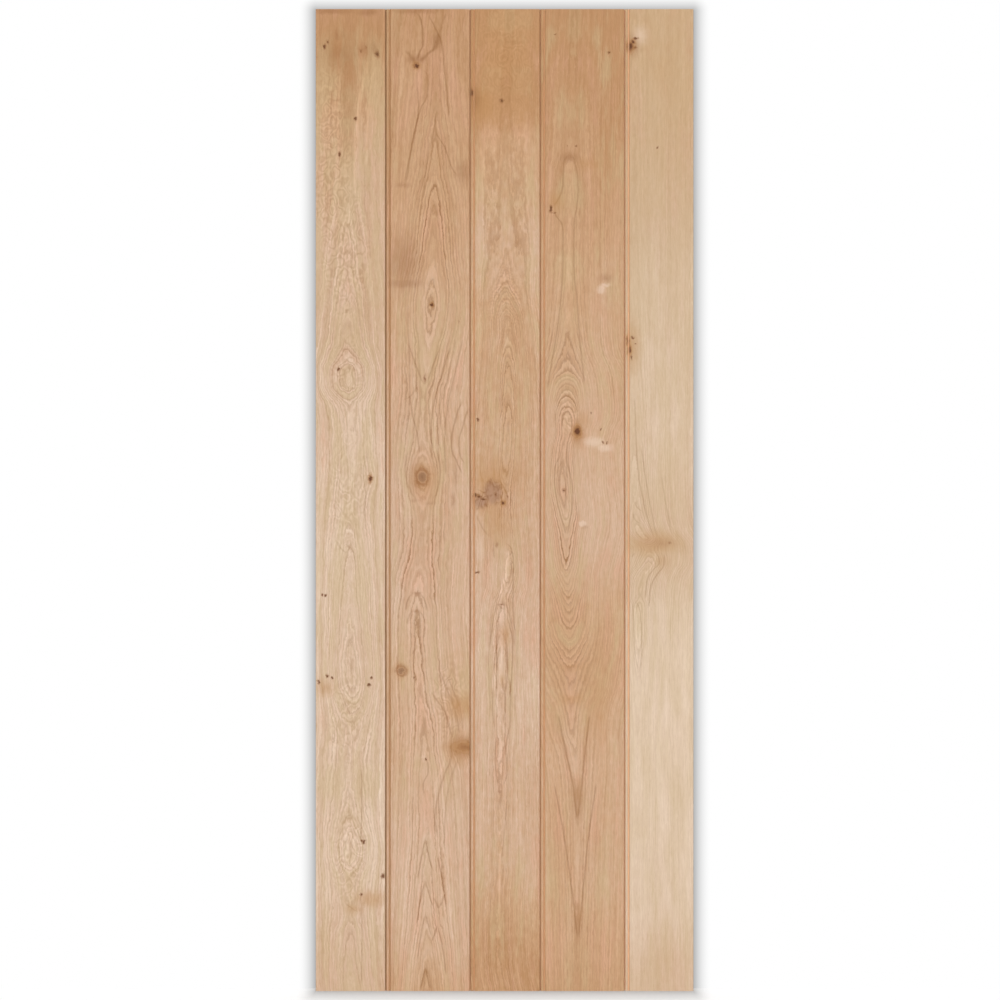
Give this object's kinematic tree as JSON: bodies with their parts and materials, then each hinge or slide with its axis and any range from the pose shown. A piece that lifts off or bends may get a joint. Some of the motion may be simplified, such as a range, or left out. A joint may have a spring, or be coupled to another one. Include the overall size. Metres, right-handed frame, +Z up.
{
  "type": "ledged oak door",
  "caption": "Ledged door leaf of tongued, grooved and beaded oak boards, held by screwed and plugged ledges across the back, without frame or ironmongery.",
  "frame": {"origin": "middle of the leaf's foot: halfway across its width and halfway through its thickness, at the level of the bottom edge", "axes": "+Z up the boards, +Y from the boarded front to the ledges at the back, +X across the leaf from left to right as seen from the front"},
  "size_m": [0.762, 0.04, 1.981],
  "materials": {
    "board_oak": "planed oak with a clear satin oil",
    "ledge_oak": "planed oak with a clear satin oil",
    "plug_oak": "oak plugs, pared flush and oiled",
    "screw_steel": "stainless steel, plain"
  },
  "bodies": {
    "root": {"board_1": "board_oak", "board_2": "board_oak", "board_3": "board_oak", "board_4": "board_oak", "board_5": "board_oak", "ledge_top": "ledge_oak", "ledge_middle": "ledge_oak", "ledge_bottom": "ledge_oak", "screws_top": "screw_steel", "screws_middle": "screw_steel", "screws_bottom": "screw_steel", "plugs_top": "plug_oak", "plugs_middle": "plug_oak", "plugs_bottom": "plug_oak"}
  },
  "joints": []
}
